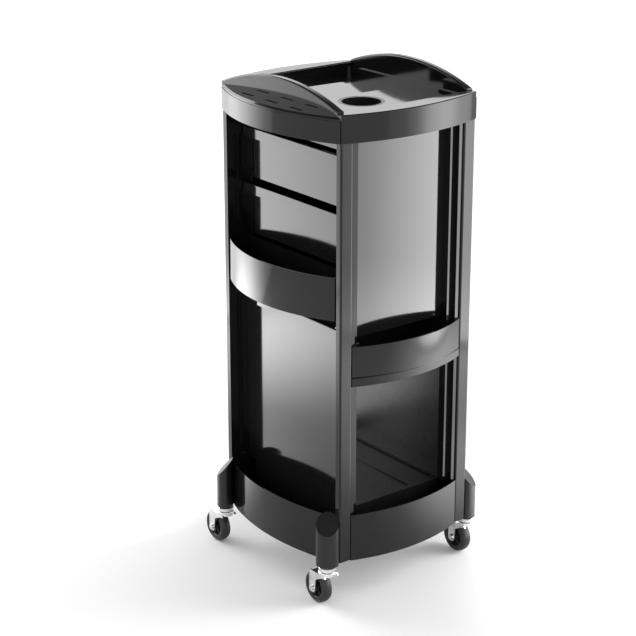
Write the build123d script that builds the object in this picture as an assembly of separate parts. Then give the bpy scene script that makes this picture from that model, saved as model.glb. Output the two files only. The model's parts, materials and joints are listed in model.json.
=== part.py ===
from build123d import *
import math
import os

# Salon trolley in millimetres. The drawers open towards -Y, +X is the right hand side, Z is up
# and the wheels stand on Z = 0.

# Driving dimensions
WIDTH = 334.0            # left to right over the corner posts
DEPTH = 292.0            # front to back over the corner posts
POST_FOOT = 82.0         # height of the posts' lower ends
RIM_UNDERSIDE = 832.0    # underside of the top bands and the posts' upper ends
RIM_TOP = 880.0          # top of the side rims
BAND_TOP = 869.0         # top of the front and rear bands
DECK_TOP = 872.0
LOBE_TOP = 875.0
HANDLE_TOP = 913.0
HANDLE_FOOT = 157.0      # half the length of a handle
HANDLE_THICK = 13.0
ORIGIN_SHIFT = 6.0       # the trailing wheels reach further left than the body does right

POST_X = 12.0            # the flat bar of a post, seen from the front
POST_Y = 25.0            # and seen from the side
REBATE_X = 3.5           # step beside the flat bar, seen from the side
REBATE_Y = 8.0
WALL = 3.0
PANEL_X = 139.5          # outer face of the side panels
FASCIA_Y = 110.0         # front plane of the drawers and panels
FRONT_BOW = 43.0         # how far the bands stand out at mid span
SIDE_BOW = 26.0
BAND_SEAM = 1.6          # gap between a band and the corner posts
BASE_FRONT_BOW = 30.0
BASE_SIDE_BOW = 22.0
BASE_TOP = 166.0
BASE_UNDERSIDE = 80.0
FLOOR_TOP = 162.0

DRAWER_HALF = 128.0      # half the width of a drawer's box
DRAWER_BACK = 100.0
DRAWER_BOX = 71.0        # box height under the lip
LIP_HALF = 149.0
LIP_HEIGHT = 18.0
LIP_DEPTH = 6.0
FLANGE_HALF = 134.5      # half the width over the side flanges that run on the runners
DRAWER_LIPS = {"drawer_top": 799.0, "drawer_middle": 697.0}
TRAY_LIP = 599.0
TRAY_TOP = 601.0
TRAY_UNDERSIDE = 525.0
TRAY_BOW = 42.0
PANEL_LIP = 493.0

SIDE_TRAY_TOP = 477.0
SIDE_TRAY_UNDERSIDE = 423.0
SIDE_TRAY_BOW = 29.0
SIDE_TRAY_BACK = 84.0
SIDE_SHELF_UNDERSIDE = 405.0
SIDE_PANEL_FOOT = 480.0

RIM_INNER = 157.2        # straight inner edge of the side rims
RECESS_FLOOR = 860.0
CUP_X = 81.0
CUP_Y = -35.0
CUP_RADIUS = 36.5
CUP_FLANGE = 3.0

SWIVEL_X = 154.0
SWIVEL_Y = 163.0
WHEEL_RADIUS = 30.0
TYRE_WIDTH = 19.0
HUB_RADIUS = 21.0
TRAIL = 24.0
STEM_RADIUS = 5.0
RUNNING_GAP = 0.05
HOUSING_TOP = 178.0
HOUSING_SLOPE = 34.0     # drop of the slanted top across the tube
HOUSING_FOOT = 80.0
BEARING_FOOT = 70.0
FORK_TOP = 69.5
FORK_CROWN = 7.5

HALF_W = WIDTH / 2
HALF_D = DEPTH / 2
POST_IN_X = HALF_W - POST_X
POST_IN_Y = HALF_D - POST_Y
CORNERS = {"front_left": (-1, -1), "front_right": (1, -1), "rear_left": (-1, 1), "rear_right": (1, 1)}
SIDES = {"left": -1, "right": 1}


def block(x0, x1, y0, y1, z0, z1):
    """A box from its lower and upper limits, given in either order."""
    size = (abs(x1 - x0), abs(y1 - y0), abs(z1 - z0))
    return Pos((x0 + x1) / 2, (y0 + y1) / 2, (z0 + z1) / 2) * Box(*size)


def lobe(half_chord, chord_y, sag, z0, z1):
    """The solid between a straight chord on the front side and the arc that bows out from it."""
    arc = ThreePointArc((-half_chord, -chord_y), (0, -chord_y - sag), (half_chord, -chord_y))
    chord = Line((half_chord, -chord_y), (-half_chord, -chord_y))
    return Pos(0, 0, z0) * extrude(make_face([arc, chord]), z1 - z0)


def facing(solid, angle):
    """Turns a solid made for the front towards another side: 90 is right, 180 rear, 270 left."""
    return Rot(0, 0, angle) * solid


def post(sx, sy):
    """A moulded corner post: a flat bar with webs that close the gap to the drawers."""
    z0 = POST_FOOT
    z1 = RIM_UNDERSIDE
    bar = block(POST_IN_X, HALF_W, POST_IN_Y, HALF_D, z0, z1)
    bar = fillet(bar.edges().filter_by(Axis.Z).group_by(Axis.X)[-1], 3)
    inner_wall = block(POST_IN_X - WALL, POST_IN_X, FASCIA_Y - 6, POST_IN_Y + WALL, BASE_TOP, z1)
    rebate = block(POST_IN_X - WALL, HALF_W - REBATE_X, POST_IN_Y - REBATE_Y, POST_IN_Y, BASE_TOP, z1)
    front_web = block(PANEL_X, POST_IN_X, FASCIA_Y - 6, FASCIA_Y - 9, BASE_TOP, z1)
    body = bar + inner_wall + rebate + front_web
    for lip in list(DRAWER_LIPS.values()) + [TRAY_LIP]:
        stop = Polyline((FASCIA_Y + 3, lip + 3), (POST_IN_Y + 1, lip + 27), (POST_IN_Y + 1, lip + 33),
                        (FASCIA_Y - 3, lip + 3), close=True)
        body += Pos(POST_IN_X - WALL - 3, 0, 0) * extrude(Plane.YZ * make_face(stop), 4)
    if sx < 0:
        body = mirror(body, Plane.YZ)
    if sy < 0:
        body = mirror(body, Plane.XZ)
    return body


def posts_envelope():
    """The space of the four bars, kept free by everything that stands between them."""
    space = None
    for sx, sy in CORNERS.values():
        bar = block(sx * POST_IN_X, sx * (HALF_W + 60), sy * POST_IN_Y, sy * (HALF_D + 60), POST_FOOT,
                    RIM_UNDERSIDE)
        space = bar if space is None else space + bar
    return space


def base_tray():
    """The bowed bottom tray: a floor, and four bands that stand between the posts."""
    z0 = BASE_UNDERSIDE
    z1 = BASE_TOP
    outer = block(-HALF_W, HALF_W, -POST_IN_Y, POST_IN_Y, z0, z1)
    outer += block(1 - POST_IN_X, POST_IN_X - 1, -HALF_D, HALF_D, z0, z1)
    inner_floor = z0 + 10
    room = block(-HALF_W, HALF_W, WALL - POST_IN_Y, POST_IN_Y - WALL, inner_floor, z1)
    room += block(4 - POST_IN_X, POST_IN_X - 4, -HALF_D, HALF_D, inner_floor, z1)
    for angle in (0, 180):
        outer += facing(lobe(POST_IN_X - 1, HALF_D, BASE_FRONT_BOW, z0, z1), angle)
        room += facing(lobe(POST_IN_X - 4, HALF_D, BASE_FRONT_BOW - WALL, inner_floor, z1), angle)
    for angle in (90, 270):
        outer += facing(lobe(POST_IN_Y, HALF_W, BASE_SIDE_BOW, z0, z1), angle)
        room += facing(lobe(POST_IN_Y - WALL, HALF_W, BASE_SIDE_BOW - WALL, inner_floor, z1), angle)
    corner_walls = None
    for sx, sy in CORNERS.values():
        keep = block(sx * (POST_IN_X - 4), sx * POST_IN_X, sy * (POST_IN_Y - WALL), sy * HALF_D, z0, z1)
        corner_walls = keep if corner_walls is None else corner_walls + keep
    tray = outer - (room - corner_walls) - posts_envelope()
    lower_line = block(-HALF_W - 30, HALF_W + 30, -HALF_D - 40, HALF_D + 40, z0, z0 + 7)
    foot_edge = lobe(POST_IN_X - 1, HALF_D, BASE_FRONT_BOW, z0, z0 + 7)
    foot_edge -= lobe(POST_IN_X + 3, HALF_D, BASE_FRONT_BOW - 1.6, z0, z0 + 7)
    for angle in (0, 180):
        tray -= facing(foot_edge & lower_line, angle)
    return tray


def compartment_floor():
    """The raised floor of the open lower compartment, with its locating ridge."""
    x = PANEL_X - 6.5
    y = FASCIA_Y - 4
    z0 = BASE_UNDERSIDE + 10
    plate = block(-x, x, -y, y, z0, FLOOR_TOP)
    plate -= block(WALL - x, x - WALL, WALL - y, y - WALL, z0, FLOOR_TOP - WALL)
    ridge = block(8 - x, x - 8, 44, 47, FLOOR_TOP, FLOOR_TOP + 2)
    return plate + ridge


def lip_bar(lip_top):
    """The overhanging lip across the front of a drawer, rolled under at its ends."""
    y1 = -FASCIA_Y + 1
    bar = block(-LIP_HALF, LIP_HALF, y1 - LIP_DEPTH, y1, lip_top - LIP_HEIGHT, lip_top)
    bar = fillet(bar.edges().filter_by(Axis.Y).group_by(Axis.Z)[0], 8)
    bar = fillet(bar.edges().filter_by(Axis.X).group_by(Axis.Z)[-1], 2)
    return bar


def drawer_box(lip_top, box_height):
    """An open box with a side flange along each top edge."""
    z1 = lip_top - LIP_HEIGHT + 4
    z0 = z1 - 4 - box_height
    box = block(-DRAWER_HALF, DRAWER_HALF, -FASCIA_Y, DRAWER_BACK, z0, z1)
    box = fillet(box.edges().filter_by(Axis.Z), 5)
    box -= block(WALL - DRAWER_HALF, DRAWER_HALF - WALL, WALL - FASCIA_Y, DRAWER_BACK - WALL,
                 z0 + WALL, z1)
    for side in SIDES.values():
        box += block(side * (DRAWER_HALF - 2), side * FLANGE_HALF, 12 - FASCIA_Y, DRAWER_BACK, z1 - 3, z1)
    return box


def drawer(lip_top):
    """A pull-out drawer: the box with its lip, which is open behind as high as the box."""
    wall_up = block(-DRAWER_HALF + 6, DRAWER_HALF - 6, 1 - FASCIA_Y, WALL - FASCIA_Y,
                    lip_top - LIP_HEIGHT, lip_top - 2)
    return drawer_box(lip_top, DRAWER_BOX) + wall_up + lip_bar(lip_top)


def front_tray():
    """The third pull-out: a drawer box that carries the bowed pocket across the front."""
    half = POST_IN_X - WALL - 1
    z0 = TRAY_UNDERSIDE
    pocket = block(-half, half, -HALF_D, -FASCIA_Y, z0, TRAY_TOP)
    pocket += lobe(half, HALF_D, TRAY_BOW, z0, TRAY_TOP)
    room = block(WALL - half, half - WALL, -HALF_D, -FASCIA_Y - WALL, z0 + WALL, TRAY_TOP)
    room += lobe(half - WALL, HALF_D, TRAY_BOW - WALL, z0 + WALL, TRAY_TOP)
    box = drawer_box(TRAY_LIP, TRAY_LIP - LIP_HEIGHT - z0)
    return pocket - room + box


def front_panel():
    """The fixed panel below the front tray, stepped back at its sides, with the same lip."""
    z0 = BASE_UNDERSIDE + 10
    z1 = PANEL_LIP - LIP_HEIGHT + 2
    plate = block(-DRAWER_HALF, DRAWER_HALF, -FASCIA_Y, WALL - FASCIA_Y, z0, z1)
    for side in SIDES.values():
        step = block(side * (DRAWER_HALF - WALL), side * (POST_IN_X - WALL), WALL - FASCIA_Y,
                     6 - FASCIA_Y, BASE_TOP, z1)
        plate += step
    return plate + lip_bar(PANEL_LIP)


def rear_panel():
    """The flat back wall, from the base tray to the top bands."""
    plate = block(-DRAWER_HALF, DRAWER_HALF, FASCIA_Y - WALL, FASCIA_Y, BASE_UNDERSIDE + 10, RIM_UNDERSIDE)
    plate += block(1 - POST_IN_X + WALL, POST_IN_X - WALL - 1, FASCIA_Y - 6, FASCIA_Y - WALL, BASE_TOP,
                   RIM_UNDERSIDE)
    for level in (PANEL_LIP, TRAY_LIP, *DRAWER_LIPS.values()):
        plate += block(-DRAWER_HALF, DRAWER_HALF, FASCIA_Y, FASCIA_Y + 2, level - LIP_HEIGHT, level)
    return plate


def header_rail():
    """The strip across the front opening under the top band."""
    half = POST_IN_X - WALL - 3.5
    return block(-half, half, -FASCIA_Y, 4 - FASCIA_Y, DRAWER_LIPS["drawer_top"] + 8, RIM_UNDERSIDE)


def side_panel(side):
    """The flat upper side wall between the posts."""
    y = FASCIA_Y - 6
    return block(side * (PANEL_X - WALL), side * PANEL_X, -y, y, SIDE_PANEL_FOOT, RIM_UNDERSIDE)


def runner(side, lip_top):
    """A ledge on the inside of a side panel that carries one drawer flange."""
    z1 = lip_top - LIP_HEIGHT + 0.6
    inner = DRAWER_HALF + 1.5
    outer = PANEL_X - WALL
    ledge = block(side * inner, side * outer, -FASCIA_Y + 11, FASCIA_Y - 11, z1 - 3, z1)
    web = block(side * (outer - 1.2), side * outer, -FASCIA_Y + 11, FASCIA_Y - 11, z1 - 14, z1)
    return ledge + web


def bowed_side(half_y, x0, bow, z0, z1):
    """A solid from the plane x0 out to the right-hand bow."""
    return facing(lobe(half_y, HALF_W, bow, z0, z1), 90) + block(x0, HALF_W, -half_y, half_y, z0, z1)


def side_shelf(side):
    """The fixed cross rail between two posts, on which the side tray rests."""
    half = POST_IN_Y
    z0 = SIDE_SHELF_UNDERSIDE
    z1 = SIDE_TRAY_UNDERSIDE - 1
    bow = SIDE_TRAY_BOW - 4
    shelf = bowed_side(half, SIDE_TRAY_BACK, bow, z0, z1)
    shelf = fillet(shelf.edges().filter_by(GeomType.CIRCLE), 2.5)
    shelf -= bowed_side(half - 2 * WALL, SIDE_TRAY_BACK + WALL, bow - 2 * WALL, z0, z1 - 2 * WALL)
    trimmed = shelf - inner_keepout()
    return trimmed if side > 0 else mirror(trimmed, Plane.YZ)


def inner_keepout():
    """The post webs, which the side shelves and trays stay clear of."""
    space = None
    for sy in (-1, 1):
        web = block(0, POST_IN_X + 0.5, sy * (FASCIA_Y - 9.5), sy * HALF_D, POST_FOOT, RIM_UNDERSIDE)
        step = block(0, HALF_W - REBATE_X + 0.5, sy * (POST_IN_Y - REBATE_Y - 0.5), sy * HALF_D, POST_FOOT,
                     RIM_UNDERSIDE)
        space = web + step if space is None else space + web + step
    return space


def side_tray(side):
    """A pull-out side tray with a bowed front."""
    half = POST_IN_Y - 0.5
    z0 = SIDE_TRAY_UNDERSIDE
    z1 = SIDE_TRAY_TOP
    body = bowed_side(half, SIDE_TRAY_BACK, SIDE_TRAY_BOW, z0, z1) - inner_keepout()
    inner_half = FASCIA_Y - 9.5 - WALL
    room = block(SIDE_TRAY_BACK + WALL, HALF_W, -inner_half, inner_half, z0 + WALL, z1)
    room += facing(lobe(half - WALL, HALF_W, SIDE_TRAY_BOW - WALL, z0 + WALL, z1), 90)
    step_half = POST_IN_Y - REBATE_Y - 0.5 - WALL
    room += block(POST_IN_X + 0.5 + WALL, HALF_W, -step_half, step_half, z0 + WALL, z1)
    tray = body - room
    return tray if side > 0 else mirror(tray, Plane.YZ)


def rim(side):
    """A raised side rim that caps two posts: bowed outwards, straight inside and hollow below."""
    cap = 7.0
    outer = facing(lobe(HALF_D, HALF_W, SIDE_BOW, RIM_UNDERSIDE, RIM_TOP), 90)
    outer += block(RIM_INNER, HALF_W, -HALF_D, HALF_D, RIM_UNDERSIDE, RIM_TOP)
    hollow = facing(lobe(HALF_D, HALF_W - 11, SIDE_BOW + 2, RIM_UNDERSIDE, RIM_TOP - cap), 90)
    bar = chamfer(outer.faces().sort_by(Axis.Z)[-1].edges(), 1.2) - hollow
    return bar if side > 0 else mirror(bar, Plane.YZ)


def end_band(angle):
    """The bowed band across the front or rear of the top."""
    band = lobe(HALF_W - 0.6, HALF_D + BAND_SEAM, FRONT_BOW - BAND_SEAM, RIM_UNDERSIDE, BAND_TOP)
    band -= lobe(HALF_W - 8, HALF_D, FRONT_BOW - 4, RIM_UNDERSIDE, BAND_TOP)
    return facing(band, angle)


def recess_outline(grow):
    """The recess of the top tray along its left and rear, seen from above."""
    points = [(-154, -128), (-68, -128), (-57, 36), (30, 4), (33, 80), (132, 80), (132, 128), (-154, 128)]
    face = make_face(Polyline(*points, close=True))
    face = fillet(face.vertices(), 6)
    return offset(face, grow) if grow else face


def top_tray():
    """The deck: a flat ledge, the recess, the cup hole, and a slotted lobe at each end."""
    edge = RIM_INNER - 0.2
    handle_in = HALF_D - HANDLE_THICK
    underside = DECK_TOP - 8
    groove = underside + WALL
    deck = block(-edge, edge, -handle_in, handle_in, underside, DECK_TOP)
    deck += block(-edge, edge, -HALF_D, HALF_D, underside, groove)
    for angle in (0, 180):
        cover = lobe(HALF_W - 1, HALF_D, FRONT_BOW - 1, BAND_TOP, LOBE_TOP)
        arc_top = cover.edges().filter_by(GeomType.CIRCLE).group_by(Axis.Z)[-1]
        cover = chamfer(arc_top, 3)
        deck += facing(cover + lobe(HALF_W - 8.5, HALF_D, FRONT_BOW - 4.5, underside, BAND_TOP), angle)
    floor_z = RECESS_FLOOR - WALL
    deck += Pos(0, 0, floor_z) * extrude(recess_outline(WALL), DECK_TOP - floor_z)
    deck -= Pos(0, 0, RECESS_FLOOR) * extrude(recess_outline(0), DECK_TOP - floor_z)
    deck += block(-edge, WALL - edge, -handle_in, handle_in, DECK_TOP, RIM_TOP - 1)
    deck -= Pos(CUP_X, CUP_Y, DECK_TOP) * Cylinder(CUP_RADIUS, 40)
    deck -= Pos(CUP_X, CUP_Y, DECK_TOP) * Cylinder(CUP_RADIUS + CUP_FLANGE, 5)
    for x in (-68, 0, 68):
        slot = extrude(SlotOverall(34, 5), 20, both=True)
        deck -= Pos(x, -HALF_D - 16, LOBE_TOP) * slot
    return deck


def cup_liner():
    """The removable cup that drops flush into the round hole of the deck."""
    outside = CUP_RADIUS - 0.5
    depth = 36.0
    cup = Pos(0, 0, -depth / 2) * Cylinder(outside, depth)
    cup += Pos(0, 0, -1.4) * Cylinder(CUP_RADIUS + CUP_FLANGE - 0.3, 2.2)
    cup -= Pos(0, 0, 2.4 - (depth - 2) / 2) * Cylinder(outside - 2.5, depth)
    cup -= Pos(0, 0, 4.9) * Cylinder(CUP_RADIUS + CUP_FLANGE, 10)
    return Pos(CUP_X, CUP_Y, DECK_TOP) * cup


def handle(angle):
    """A raised end wall with an arched top edge, by which the trolley is pulled."""
    base = DECK_TOP - 8 + WALL
    end_top = RIM_TOP + 4
    outline = [Line((-HANDLE_FOOT, base), (-HANDLE_FOOT, end_top)),
               ThreePointArc((-HANDLE_FOOT, end_top), (0, HANDLE_TOP), (HANDLE_FOOT, end_top)),
               Line((HANDLE_FOOT, end_top), (HANDLE_FOOT, base)),
               Line((HANDLE_FOOT, base), (-HANDLE_FOOT, base))]
    wall = extrude(Plane.XZ * make_face(outline), HANDLE_THICK)
    wall = Pos(0, -HALF_D - wall.bounding_box().min.Y, 0) * wall
    wall = fillet(wall.edges().filter_by(GeomType.CIRCLE), 3)
    return facing(wall, angle)


def housing(sx, sy):
    """A caster housing: an upright oval tube with a slanted facet that faces out of the corner."""
    body = Pos(0, 0, HOUSING_FOOT) * extrude(Ellipse(15, 20), HOUSING_TOP - HOUSING_FOOT)
    over = 3.0
    slant = HOUSING_SLOPE * (30 + 2 * over) / 30
    facet = Polyline((15 + over, HOUSING_TOP - slant), (15 + over, HOUSING_TOP + 5), (-15 - over, HOUSING_TOP + 5),
                     (-15 - over, HOUSING_TOP), close=True)
    body -= extrude(Plane.XZ * make_face(facet), 30, both=True)
    body -= Pos(0, 0, HOUSING_FOOT + 25) * Cylinder(STEM_RADIUS + RUNNING_GAP, 50)
    angle = math.degrees(math.atan2(sy, sx))
    placed = Pos(sx * SWIVEL_X, sy * SWIVEL_Y, 0) * Rot(0, 0, angle) * body
    keep_off = block(-HALF_W, HALF_W, -HALF_D, HALF_D, 0, RIM_TOP)
    keep_off += facing(lobe(POST_IN_X - 1, HALF_D, BASE_FRONT_BOW, 0, BASE_TOP), 0 if sy < 0 else 180)
    return placed - keep_off


def bearing():
    """The swivel raceway under a housing."""
    race = Pos(0, 0, BEARING_FOOT + 4) * Cylinder(15.5, 8)
    race = chamfer(race.edges(), 1)
    race += Pos(0, 0, BEARING_FOOT + 9) * Cylinder(11, 2)
    race = race - Pos(0, 0, BEARING_FOOT + 5) * Cylinder(STEM_RADIUS + RUNNING_GAP, 12)
    return race


def fork():
    """The swivel fork: plate, two cheeks that reach back to the axle, and the stem."""
    axle_z = WHEEL_RADIUS
    cheek_top = FORK_TOP - 5
    crown = Pos(0, 0, FORK_TOP - FORK_CROWN / 2) * Cylinder(16, FORK_CROWN)
    plate = fillet(crown.edges().group_by(Axis.Z)[-1], 2)
    plate += block(-26, 0, -15, 15, cheek_top - 3, cheek_top)
    cheek = Polyline((-30, cheek_top), (10, cheek_top), (13, cheek_top - 4), (2, cheek_top - 6),
                     (-14, axle_z + 20), (-TRAIL + 8, axle_z), (-TRAIL - 8, axle_z), (-32, axle_z + 24),
                     close=True)
    side = extrude(Plane.XZ * make_face(cheek), 2.5)
    eye = Pos(-TRAIL, 0, axle_z) * Rot(90, 0, 0) * Cylinder(8, 2.5, align=(Align.CENTER, Align.CENTER, Align.MIN))
    flat = side + eye
    body = plate
    for y in (-12.5, 15):
        body += Pos(0, y, 0) * flat
    body += Pos(0, 0, FORK_TOP + 24) * Cylinder(STEM_RADIUS, 48)
    return body - Pos(-TRAIL, 0, axle_z) * Rot(90, 0, 0) * Cylinder(3, 40)


def axle():
    """The axle bolt with its head and nut."""
    pin = Cylinder(3, 30.4)
    head = Pos(0, 0, 16.6) * Cylinder(5, 2.8)
    nut = Pos(0, 0, -16.9) * extrude(RegularPolygon(5.5, 6), 1.7, both=True)
    return Pos(-TRAIL, 0, WHEEL_RADIUS) * Rot(90, 0, 0) * (pin + head + nut)


def hub():
    """The wheel hub: a rim with a recessed disc on both faces."""
    body = Cylinder(HUB_RADIUS, TYRE_WIDTH)
    for side in SIDES.values():
        body -= Pos(0, 0, side * (TYRE_WIDTH / 2)) * (Cylinder(HUB_RADIUS - 3, 7) - Cylinder(8, 7))
        body += Pos(0, 0, side * (TYRE_WIDTH / 2 + 0.75)) * Cylinder(7, 1.5)
    body -= Cylinder(3 + RUNNING_GAP, 40)
    return Pos(-TRAIL, 0, WHEEL_RADIUS) * Rot(90, 0, 0) * body


def tyre():
    """The solid rubber tyre with rounded shoulders."""
    ring = fillet(Cylinder(WHEEL_RADIUS, TYRE_WIDTH).edges(), 5) - Cylinder(HUB_RADIUS, TYRE_WIDTH)
    return Pos(-TRAIL, 0, WHEEL_RADIUS) * Rot(90, 0, 0) * ring


def build():
    """Every node of the trolley by name."""
    nodes = {"base_tray": base_tray(), "compartment_floor": compartment_floor(),
             "front_panel": front_panel(), "rear_panel": rear_panel(), "header_rail": header_rail(),
             "front_tray": front_tray(), "top_tray": top_tray(), "cup_liner": cup_liner(),
             "band_front": end_band(0), "band_rear": end_band(180),
             "handle_front": handle(0), "handle_rear": handle(180)}
    for name, lip_top in DRAWER_LIPS.items():
        nodes[name] = drawer(lip_top)
    for name, side in SIDES.items():
        nodes["rim_" + name] = rim(side)
        nodes["side_panel_" + name] = side_panel(side)
        nodes["side_shelf_" + name] = side_shelf(side)
        nodes["side_tray_" + name] = side_tray(side)
        nodes["runner_top_" + name] = runner(side, DRAWER_LIPS["drawer_top"])
        nodes["runner_middle_" + name] = runner(side, DRAWER_LIPS["drawer_middle"])
        nodes["runner_lower_" + name] = runner(side, TRAY_LIP)
    for name, (sx, sy) in CORNERS.items():
        nodes["post_" + name] = post(sx, sy)
        nodes["caster_housing_" + name] = housing(sx, sy)
        for piece in (bearing, fork, axle, hub, tyre):
            label = "caster_" + piece.__name__ + "_" + name
            nodes[label] = Pos(sx * SWIVEL_X, sy * SWIVEL_Y, 0) * piece()
    return nodes


os.makedirs("parts", exist_ok=True)
for node, solid in build().items():
    export_step(Pos(ORIGIN_SHIFT, 0, 0) * solid, "parts/" + node + ".step")
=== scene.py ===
import json
import math

import bmesh
import bpy
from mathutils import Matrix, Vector


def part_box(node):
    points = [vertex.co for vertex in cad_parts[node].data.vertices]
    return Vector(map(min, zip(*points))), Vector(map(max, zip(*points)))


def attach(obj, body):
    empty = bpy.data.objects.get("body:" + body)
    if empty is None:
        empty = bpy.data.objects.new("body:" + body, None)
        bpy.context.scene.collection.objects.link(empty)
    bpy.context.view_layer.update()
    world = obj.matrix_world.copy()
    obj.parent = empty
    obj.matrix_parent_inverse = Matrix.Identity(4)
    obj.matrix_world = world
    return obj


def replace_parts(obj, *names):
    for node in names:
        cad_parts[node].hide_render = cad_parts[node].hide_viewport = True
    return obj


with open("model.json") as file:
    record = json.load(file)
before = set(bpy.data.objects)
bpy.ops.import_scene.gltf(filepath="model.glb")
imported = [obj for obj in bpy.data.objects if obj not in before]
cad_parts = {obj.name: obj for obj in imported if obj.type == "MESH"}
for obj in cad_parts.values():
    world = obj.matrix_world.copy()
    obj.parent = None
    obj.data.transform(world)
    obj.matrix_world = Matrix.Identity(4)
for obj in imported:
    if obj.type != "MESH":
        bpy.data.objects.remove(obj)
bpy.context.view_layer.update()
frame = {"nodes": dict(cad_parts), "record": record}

NODES = frame["nodes"]
CORNERS = ("front_left", "front_right", "rear_left", "rear_right")

# The view: azimuth and elevation in degrees, the point aimed at and the distance in metres.
AZIMUTH = 52.2
ELEVATION = 18.8
AIM = Vector((0.028, -0.081, 0.529))
DISTANCE = 3.2
LENS = 104.0
SHIFT_Y = -0.041

# Light. A fade is the brightness of a soft box from one side to the other, as (position, brightness).
LEFT_FADE = [(0.0, 0.04), (0.12, 0.16), (0.2, 0.35), (0.27, 0.65), (0.37, 0.96), (0.52, 1.0),
             (0.63, 0.8), (0.86, 0.3), (1.0, 0.2)]
RIGHT_FADE = [(0.0, 0.05), (0.19, 0.1), (0.32, 0.3), (0.46, 0.9), (0.6, 1.0), (0.68, 0.9),
              (0.81, 0.45), (1.0, 0.2)]
# The surround, as (upward part of the direction, brightness), and its strength.
SURROUND = [(0.08, 0.35), (0.24, 1.0), (0.46, 0.9), (0.62, 0.12)]
SURROUND_STRENGTH = 2.1
VIEW_GAMMA = 0.93

# Glow of the floor, in metres: centre, distance where it starts, distance where it is full, strength.
FLOOR_HALF = 14.0
FAR_GLOW = ((0, 0), 0.55, 1.3, 0.55)
FLOOR_POOLS = (((-1.25, -0.6), 0.8, 0.1, 5.0), ((0.75, 0.85), 1.0, 0.2, 2.2),
               ((-0.56, -0.22), 0.34, 0.06, 1.6), ((0.45, 0.45), 0.34, 0.05, 2.0))

HUB_RIBS = 6


# ---------------------------------------------------------------- camera, light and floor

def make_camera():
    """The camera on its line of sight."""
    a = math.radians(AZIMUTH)
    e = math.radians(ELEVATION)
    back = Vector((math.sin(a) * math.cos(e), -math.cos(a) * math.cos(e), math.sin(e)))
    data = bpy.data.cameras.new("camera")
    data.lens = LENS
    data.sensor_width = 36.0
    data.shift_y = SHIFT_Y
    cam = bpy.data.objects.new("camera", data)
    cam.location = AIM + back * DISTANCE
    cam.rotation_mode = "QUATERNION"
    cam.rotation_quaternion = (-back).to_track_quat("-Z", "Y")
    bpy.context.scene.collection.objects.link(cam)
    bpy.context.scene.camera = cam


def soft_box(name, place, towards, size, power, fade):
    """A rectangular studio light, dimmer towards its sides, that the camera itself doesn't see."""
    data = bpy.data.lights.new(name, "AREA")
    data.shape = "RECTANGLE"
    data.size, data.size_y = size
    data.energy = power
    data.use_nodes = True
    tree = data.node_tree
    across = tree.nodes.new("ShaderNodeNewGeometry")
    split = tree.nodes.new("ShaderNodeSeparateXYZ")
    tree.links.new(across.outputs["Parametric"], split.inputs[0])
    tree.links.new(ramp(tree, split.outputs[0], fade), tree.nodes["Emission"].inputs["Strength"])
    lamp = bpy.data.objects.new(name, data)
    lamp.location = place
    lamp.rotation_euler = (Vector(towards) - Vector(place)).to_track_quat("-Z", "Y").to_euler()
    lamp.visible_camera = False
    bpy.context.scene.collection.objects.link(lamp)


def make_lights():
    """Soft boxes at the left and the right rear, and a surround brightest a little above the horizon.

    The camera itself sees plain white in place of the surround.
    """
    soft_box("left_box", (-1.15, -0.62, 0.82), (0.0, -0.62, 0.82), (1.75, 1.6), 38, LEFT_FADE)
    soft_box("right_box", (0.96, 0.92, 0.82), (0.19, 0.0, 0.82), (1.4, 1.6), 50, RIGHT_FADE)
    world = bpy.data.worlds.new("studio")
    world.use_nodes = True
    tree = world.node_tree
    tree.nodes.clear()
    out = tree.nodes.new("ShaderNodeOutputWorld")
    mix = tree.nodes.new("ShaderNodeMixShader")
    path = tree.nodes.new("ShaderNodeLightPath")
    coords = tree.nodes.new("ShaderNodeTexCoord")
    split = tree.nodes.new("ShaderNodeSeparateXYZ")
    fill = tree.nodes.new("ShaderNodeBackground")
    seen = tree.nodes.new("ShaderNodeBackground")
    tree.links.new(coords.outputs["Generated"], split.inputs[0])
    tree.links.new(ramp(tree, split.outputs[2], SURROUND), fill.inputs["Color"])
    fill.inputs["Strength"].default_value = SURROUND_STRENGTH
    seen.inputs["Color"].default_value = (1, 1, 1, 1)
    seen.inputs["Strength"].default_value = 1.0
    tree.links.new(path.outputs["Is Camera Ray"], mix.inputs["Fac"])
    tree.links.new(fill.outputs["Background"], mix.inputs[1])
    tree.links.new(seen.outputs["Background"], mix.inputs[2])
    tree.links.new(mix.outputs["Shader"], out.inputs["Surface"])
    bpy.context.scene.world = world
    bpy.context.scene.view_settings.view_transform = "Standard"
    bpy.context.scene.view_settings.gamma = VIEW_GAMMA


def pool(tree, coords, centre, start, full, strength):
    """Glow of the floor by distance from a point: none at start, full at full, on either side of it."""
    reach = tree.nodes.new("ShaderNodeVectorMath")
    reach.operation = "DISTANCE"
    reach.inputs[1].default_value = (*centre, 0)
    fall = tree.nodes.new("ShaderNodeMapRange")
    fall.interpolation_type = "SMOOTHSTEP"
    fall.inputs["From Min"].default_value = start
    fall.inputs["From Max"].default_value = full
    fall.inputs["To Min"].default_value = 0.0
    fall.inputs["To Max"].default_value = strength
    tree.links.new(coords, reach.inputs[0])
    tree.links.new(reach.outputs["Value"], fall.inputs["Value"])
    return fall.outputs["Result"]


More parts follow.
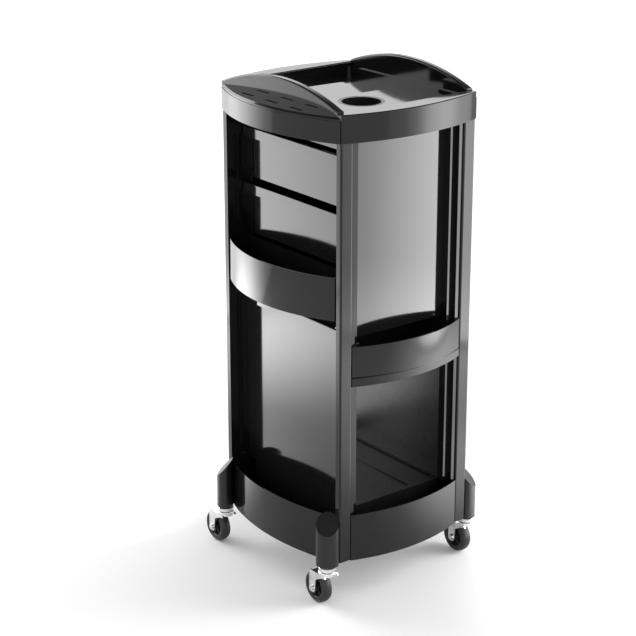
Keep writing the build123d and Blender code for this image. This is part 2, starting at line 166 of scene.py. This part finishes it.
def make_floor():
    """A pale floor past every view. It is not plain: it glows in pools that the trolley mirrors."""
    mesh = bpy.data.meshes.new("floor")
    half = FLOOR_HALF
    corners = [(-half, -half, 0), (half, -half, 0), (half, half, 0), (-half, half, 0)]
    mesh.from_pydata(corners, [], [(0, 1, 2, 3)])
    floor = bpy.data.objects.new("floor", mesh)
    bpy.context.scene.collection.objects.link(floor)
    mat = bpy.data.materials.new("floor")
    mat.use_nodes = True
    tree = mat.node_tree
    shader = tree.nodes["Principled BSDF"]
    shader.inputs["Base Color"].default_value = (0.9, 0.9, 0.9, 1)
    shader.inputs["Roughness"].default_value = 0.9
    shader.inputs["Specular IOR Level"].default_value = 0.1
    shader.inputs["Emission Color"].default_value = (1, 1, 1, 1)
    coords = tree.nodes.new("ShaderNodeTexCoord").outputs["Object"]
    total = pool(tree, coords, *FAR_GLOW)
    for spot in FLOOR_POOLS:
        add = tree.nodes.new("ShaderNodeMath")
        add.operation = "ADD"
        tree.links.new(total, add.inputs[0])
        tree.links.new(pool(tree, coords, *spot), add.inputs[1])
        total = add.outputs["Value"]
    tree.links.new(total, shader.inputs["Emission Strength"])
    mesh.materials.append(mat)


# ---------------------------------------------------------------- materials

def new_material(name, color, roughness, metallic=0.0, ior=1.5):
    """A principled material and its tree, with the constants set on the shader itself."""
    mat = bpy.data.materials.new(name)
    mat.use_nodes = True
    shader = mat.node_tree.nodes["Principled BSDF"]
    shader.inputs["Base Color"].default_value = (*color, 1)
    shader.inputs["Roughness"].default_value = roughness
    shader.inputs["Metallic"].default_value = metallic
    shader.inputs["IOR"].default_value = ior
    return mat, mat.node_tree, shader


def noise(tree, scale, detail=4.0, stretch=(1, 1, 1)):
    """Noise in object space, where one unit is a metre."""
    coords = tree.nodes.new("ShaderNodeTexCoord")
    mapping = tree.nodes.new("ShaderNodeMapping")
    mapping.inputs["Scale"].default_value = stretch
    texture = tree.nodes.new("ShaderNodeTexNoise")
    texture.inputs["Scale"].default_value = scale
    texture.inputs["Detail"].default_value = detail
    tree.links.new(coords.outputs["Object"], mapping.inputs["Vector"])
    tree.links.new(mapping.outputs["Vector"], texture.inputs["Vector"])
    return texture.outputs["Fac"]


def ramp(tree, source, stops):
    """A colour ramp over a 0 to 1 value; each stop is (position, grey or colour)."""
    node = tree.nodes.new("ShaderNodeValToRGB")
    points = node.color_ramp.elements
    while len(points) < len(stops):
        points.new(0.5)
    for point, (place, value) in zip(points, stops):
        point.position = place
        color = value if isinstance(value, tuple) else (value, value, value)
        point.color = (*color, 1)
    tree.links.new(source, node.inputs["Fac"])
    return node.outputs["Color"]


def bump(tree, shader, height, strength, distance):
    """Bump from a height value; a second call adds to the first."""
    node = tree.nodes.new("ShaderNodeBump")
    node.inputs["Strength"].default_value = strength
    node.inputs["Distance"].default_value = distance
    tree.links.new(height, node.inputs["Height"])
    if shader.inputs["Normal"].is_linked:
        tree.links.new(shader.inputs["Normal"].links[0].from_socket, node.inputs["Normal"])
    tree.links.new(node.outputs["Normal"], shader.inputs["Normal"])


def edge_wear(tree, source, worn):
    """Mixes a worn value into a colour or roughness within about a millimetre of an edge."""
    geometry = tree.nodes.new("ShaderNodeNewGeometry")
    rounded = tree.nodes.new("ShaderNodeBevel")
    rounded.samples = 4
    rounded.inputs["Radius"].default_value = 0.0015
    turn = tree.nodes.new("ShaderNodeVectorMath")
    turn.operation = "DOT_PRODUCT"
    tree.links.new(geometry.outputs["Normal"], turn.inputs[0])
    tree.links.new(rounded.outputs["Normal"], turn.inputs[1])
    mask = tree.nodes.new("ShaderNodeMath")
    mask.operation = "MULTIPLY"
    tree.links.new(ramp(tree, turn.outputs["Value"], [(0.86, 1.0), (0.985, 0.0)]),
                   mask.inputs[0])
    tree.links.new(ramp(tree, noise(tree, 55, 5), [(0.5, 0.0), (0.72, 0.5)]), mask.inputs[1])
    mix = tree.nodes.new("ShaderNodeMix")
    mix.data_type = "RGBA"
    tree.links.new(mask.outputs["Value"], mix.inputs[0])
    tree.links.new(source, mix.inputs[6])
    color = worn if isinstance(worn, tuple) else (worn, worn, worn)
    mix.inputs[7].default_value = (*color, 1)
    return mix.outputs[2]


def moulded_gloss(name, color, ior, base_roughness):
    """High-gloss moulded plastic: faint flow in the colour, orange peel, wiping marks in the gloss."""
    mat, tree, shader = new_material(name, color, base_roughness, ior=ior)
    flow = noise(tree, 6, 3)
    dark = tuple(c * 0.85 for c in color)
    light = tuple(c * 1.2 for c in color)
    tone = ramp(tree, flow, [(0.35, dark), (0.65, light)])
    tree.links.new(edge_wear(tree, tone, (0.03, 0.03, 0.031)), shader.inputs["Base Color"])
    wiped = noise(tree, 45, 6, (1, 1, 0.12))
    low, high = base_roughness * 0.9, base_roughness * 1.15
    gloss = ramp(tree, wiped, [(0.3, low), (0.75, high)])
    tree.links.new(edge_wear(tree, gloss, 0.3), shader.inputs["Roughness"])
    bump(tree, shader, noise(tree, 160, 2), 0.012, 0.0003)
    bump(tree, shader, noise(tree, 5, 0), 0.05, 0.0015)
    return mat


def moulded_satin(name, color):
    """Satin moulded plastic with a fine spark-eroded texture."""
    mat, tree, shader = new_material(name, color, 0.38, ior=1.5)
    tone = noise(tree, 30, 5)
    dark = tuple(c * 0.8 for c in color)
    light = tuple(c * 1.1 for c in color)
    tree.links.new(ramp(tree, tone, [(0.35, dark), (0.7, light)]), shader.inputs["Base Color"])
    tree.links.new(ramp(tree, noise(tree, 70, 4), [(0.3, 0.27), (0.7, 0.33)]), shader.inputs["Roughness"])
    bump(tree, shader, noise(tree, 1800, 3), 0.25, 0.0001)
    return mat


def zinc_plate():
    """Bright zinc plate: slightly uneven colour and polish, with fine rolling lines."""
    mat, tree, shader = new_material("zinc", (0.74, 0.74, 0.75), 0.2, metallic=1.0)
    tone = noise(tree, 90, 5)
    tree.links.new(ramp(tree, tone, [(0.3, (0.62, 0.63, 0.65)), (0.7, (0.84, 0.84, 0.83))]),
                   shader.inputs["Base Color"])
    tree.links.new(ramp(tree, noise(tree, 260, 4), [(0.3, 0.12), (0.75, 0.30)]), shader.inputs["Roughness"])
    bump(tree, shader, noise(tree, 500, 3, (1, 1, 0.1)), 0.12, 0.0002)
    return mat


def tyre_rubber():
    """Dark smooth rubber with a dusty tread."""
    mat, tree, shader = new_material("tyre", (0.03, 0.03, 0.032), 0.45, ior=1.5)
    tone = noise(tree, 120, 6)
    tree.links.new(ramp(tree, tone, [(0.3, (0.008, 0.008, 0.009)), (0.75, (0.022, 0.022, 0.023))]),
                   shader.inputs["Base Color"])
    tree.links.new(ramp(tree, noise(tree, 60, 4), [(0.3, 0.34), (0.75, 0.6)]), shader.inputs["Roughness"])
    bump(tree, shader, noise(tree, 1200, 3), 0.2, 0.0001)
    return mat


MATERIALS = {
    "gloss_black": moulded_gloss("gloss_black", (0.006, 0.006, 0.006), 1.42, 0.085),
    "panel_gloss": moulded_gloss("panel_gloss", (0.008, 0.008, 0.008), 1.68, 0.085),
    "satin_black": moulded_satin("satin_black", (0.008, 0.008, 0.008)),
    "wheel_plastic": moulded_satin("wheel_plastic", (0.016, 0.016, 0.018)),
    "zinc": zinc_plate(),
    "tyre": tyre_rubber(),
}
PANEL_NODES = ("drawer_top", "drawer_middle", "front_panel", "side_panel_left", "side_panel_right",
               "header_rail")


# A bevel modifier changes only these four CAD meshes. It leaves open seams in them, which the CAD meshes
# don't have, so taking it away would close them.
BEVELLED = ("handle_front", "handle_rear", "side_shelf_left", "side_shelf_right")


def dress_frame():
    """Gives every CAD node its material and smooth shading by angle, and four of them bevelled edges."""
    slots = {s["node"]: s["material_slot"] for s in frame["record"]["subparts"]}
    for name, obj in NODES.items():
        material = MATERIALS["panel_gloss" if name in PANEL_NODES else slots[name]]
        obj.data.materials.clear()
        obj.data.materials.append(material)
        obj.data.shade_smooth()
        obj.data.set_sharp_from_angle(angle=math.radians(32))
        if name in BEVELLED:
            edge = obj.modifiers.new("edges", "BEVEL")
            edge.width = 0.0012
            edge.segments = 2
            edge.limit_method = "ANGLE"
            edge.angle_limit = math.radians(40)
            edge.harden_normals = False
        obj.modifiers.new("normals", "WEIGHTED_NORMAL")


# ---------------------------------------------------------------- wheels

def new_piece(name, mesh, material, body):
    """An object that rides on a body, with its material."""
    obj = bpy.data.objects.new(name, mesh)
    bpy.context.scene.collection.objects.link(obj)
    mesh.materials.append(MATERIALS[material])
    mesh.shade_smooth()
    mesh.set_sharp_from_angle(angle=math.radians(35))
    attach(obj, body)
    return obj


def turned(bm, profile, centre, steps=96):
    """Adds a ring turned about the wheel's axis; the profile is (radius, along) and closes on itself."""
    rings = []
    for k in range(steps):
        a = 2 * math.pi * k / steps
        rings.append([bm.verts.new((centre.x + r * math.cos(a), centre.y + y, centre.z + r * math.sin(a)))
                      for r, y in profile])
    for k in range(steps):
        here, there = rings[k], rings[(k + 1) % steps]
        for i in range(len(profile)):
            j = (i + 1) % len(profile)
            bm.faces.new((here[i], here[j], there[j], there[i]))


def spoke(bm, centre, angle, inner, outer, half_wide, half_thick):
    """Adds one tapered rib between the boss and the rim of a hub."""
    out = Vector((math.cos(angle), 0, math.sin(angle)))
    side = Vector((-math.sin(angle), 0, math.cos(angle)))
    corners = []
    for reach, wide in ((inner, half_wide * 1.5), (outer, half_wide)):
        for y, narrow in ((-half_thick, 0.6), (half_thick, 0.6), (0, 1.0)):
            for way in (-1, 1):
                corners.append(centre + out * reach + side * way * wide * narrow + Vector((0, y, 0)))
    rib = bmesh.ops.convex_hull(bm, input=[bm.verts.new(c) for c in corners])
    bmesh.ops.delete(bm, geom=[v for v in rib["geom_interior"] if isinstance(v, bmesh.types.BMVert)],
                     context="VERTS")


def finished_mesh(bm, name):
    """The mesh of a bmesh, its faces turned outwards."""
    bmesh.ops.recalc_face_normals(bm, faces=bm.faces[:])
    mesh = bpy.data.meshes.new(name)
    bm.to_mesh(mesh)
    bm.free()
    return mesh


def make_wheel(corner):
    """A tyre with grooved walls and a crowned tread, and a ribbed hub."""
    low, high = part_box("caster_tyre_" + corner)
    centre = (low + high) / 2
    radius = (high.z - low.z) / 2
    half = (high.y - low.y) / 2
    hub_low, hub_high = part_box("caster_hub_" + corner)
    seat = (hub_high.z - hub_low.z) / 2
    body = "wheel_" + corner

    bm = bmesh.new()
    wall = [(seat, 0.96), (seat + 0.0012, 1.0), (seat + 0.0028, 1.0), (seat + 0.0034, 0.93),
            (seat + 0.0042, 0.99),
            (radius - 0.0036, 0.90), (radius - 0.0014, 0.74), (radius - 0.0004, 0.46), (radius, 0.08)]
    profile = [(r, half * y) for r, y in wall] + [(r, -half * y) for r, y in reversed(wall)]
    turned(bm, profile, centre)
    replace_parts(new_piece("tyre_" + corner, finished_mesh(bm, "tyre_" + corner), "tyre", body),
                "caster_tyre_" + corner)

    bm = bmesh.new()
    rim_half = half * 0.94
    rim_in = seat - 0.0028
    boss = 0.0072
    bore = 0.0033
    boss_half = (hub_high.y - hub_low.y) / 2
    web = 0.0022
    wall = [(bore, boss_half), (boss - 0.0008, boss_half), (boss, boss_half - 0.0008), (boss + 0.0012, web),
            (rim_in - 0.0012, web), (rim_in, rim_half - 0.001), (rim_in + 0.0008, rim_half), (seat, rim_half)]
    turned(bm, wall + [(r, -y) for r, y in reversed(wall)], centre)
    for k in range(HUB_RIBS):
        spoke(bm, centre, 2 * math.pi * k / HUB_RIBS + 0.3, boss - 0.0006, rim_in + 0.0006, 0.0014, 0.0064)
    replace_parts(new_piece("hub_" + corner, finished_mesh(bm, "hub_" + corner), "wheel_plastic", body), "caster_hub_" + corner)


make_camera()
make_lights()
make_floor()
dress_frame()
for corner in CORNERS:
    make_wheel(corner)
